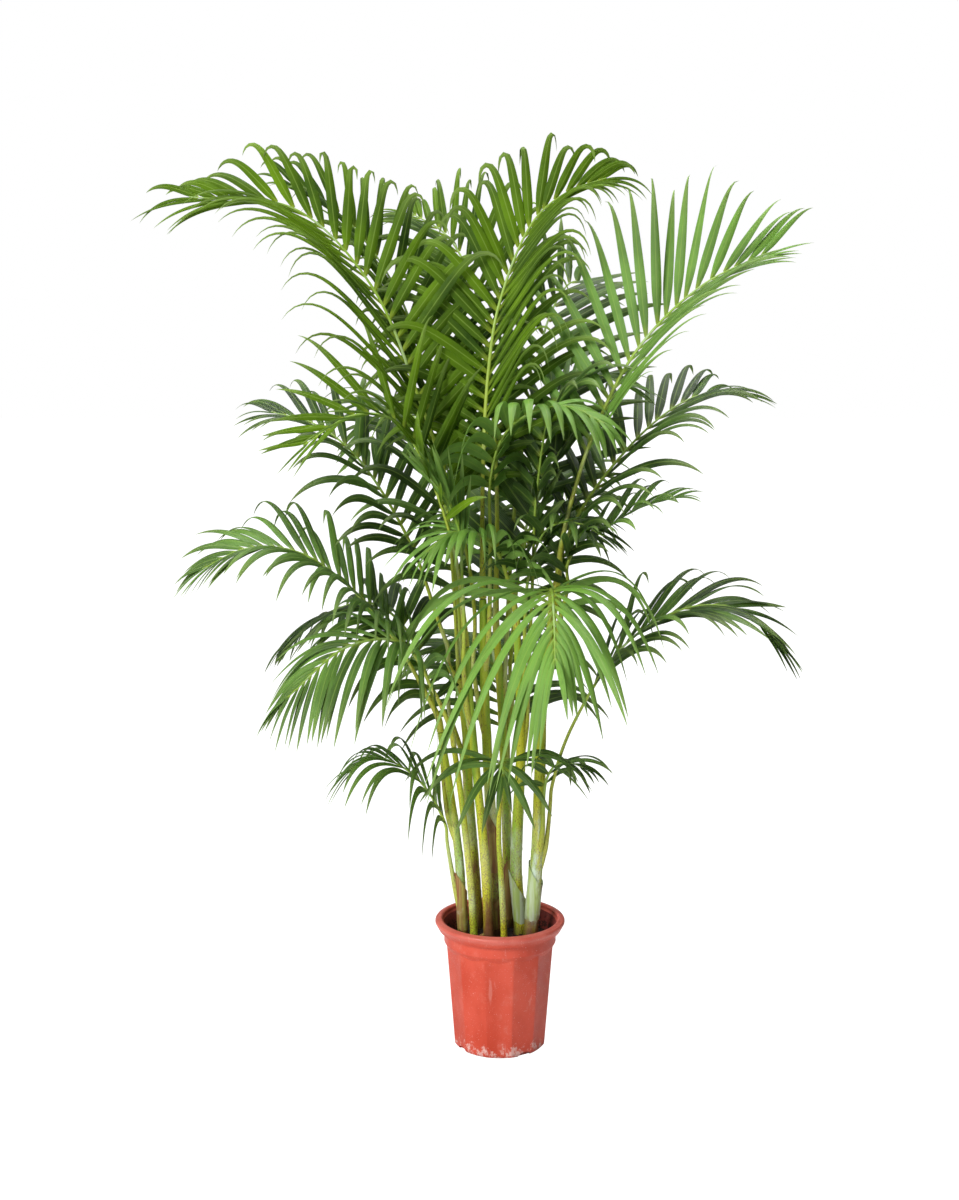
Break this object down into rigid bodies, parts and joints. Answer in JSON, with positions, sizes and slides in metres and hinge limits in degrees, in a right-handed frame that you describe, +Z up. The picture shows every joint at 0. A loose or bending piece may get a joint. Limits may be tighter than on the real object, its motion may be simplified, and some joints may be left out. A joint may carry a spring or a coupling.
{
  "type": "potted palm",
  "caption": "Potted areca palm: a clump of slender canes with long arching feather-shaped fronds, in a tapered faceted plastic nursery pot.",
  "frame": {"origin": "centre of the pot's flat base, on the surface that it stands on", "axes": "+Z up along the pot's axis; the palm's front faces -Y and its longest frond leans to -X"},
  "size_m": [1.138, 0.8832, 1.6596],
  "materials": {
    "pot_plastic": "satin",
    "compost": "matte",
    "cane": "satin",
    "leaf": "satin"
  },
  "bodies": {
    "root": {"pot": "pot_plastic", "soil": "compost", "cut_stub": "cane", "cane_left": "cane", "cane_left_front": "cane", "cane_centre_left": "cane", "cane_centre": "cane", "cane_thin": "cane", "cane_right_centre": "cane", "cane_right": "cane", "cane_back_left": "cane", "cane_back_right": "cane", "frond_top_left": "leaf", "frond_top_centre": "leaf", "frond_right_long": "leaf", "frond_top_left_back": "leaf", "frond_top_back": "leaf", "frond_right_back": "leaf", "frond_right_dark": "leaf", "frond_right_middle": "leaf", "frond_left_upper": "leaf", "frond_left_spiky": "leaf", "frond_left_long": "leaf", "frond_left_drooping": "leaf", "frond_left_dark": "leaf", "frond_low_left": "leaf", "frond_centre_right": "leaf", "frond_right_low": "leaf", "frond_low_right": "leaf", "frond_centre_dark": "leaf", "frond_right_short": "leaf", "frond_front_right": "leaf", "frond_front_centre": "leaf", "frond_front_top": "leaf", "leaf_folded": "leaf", "leaf_young": "leaf", "frond_back_left": "leaf", "frond_back_right": "leaf", "frond_back_low": "leaf"}
  },
  "joints": []
}
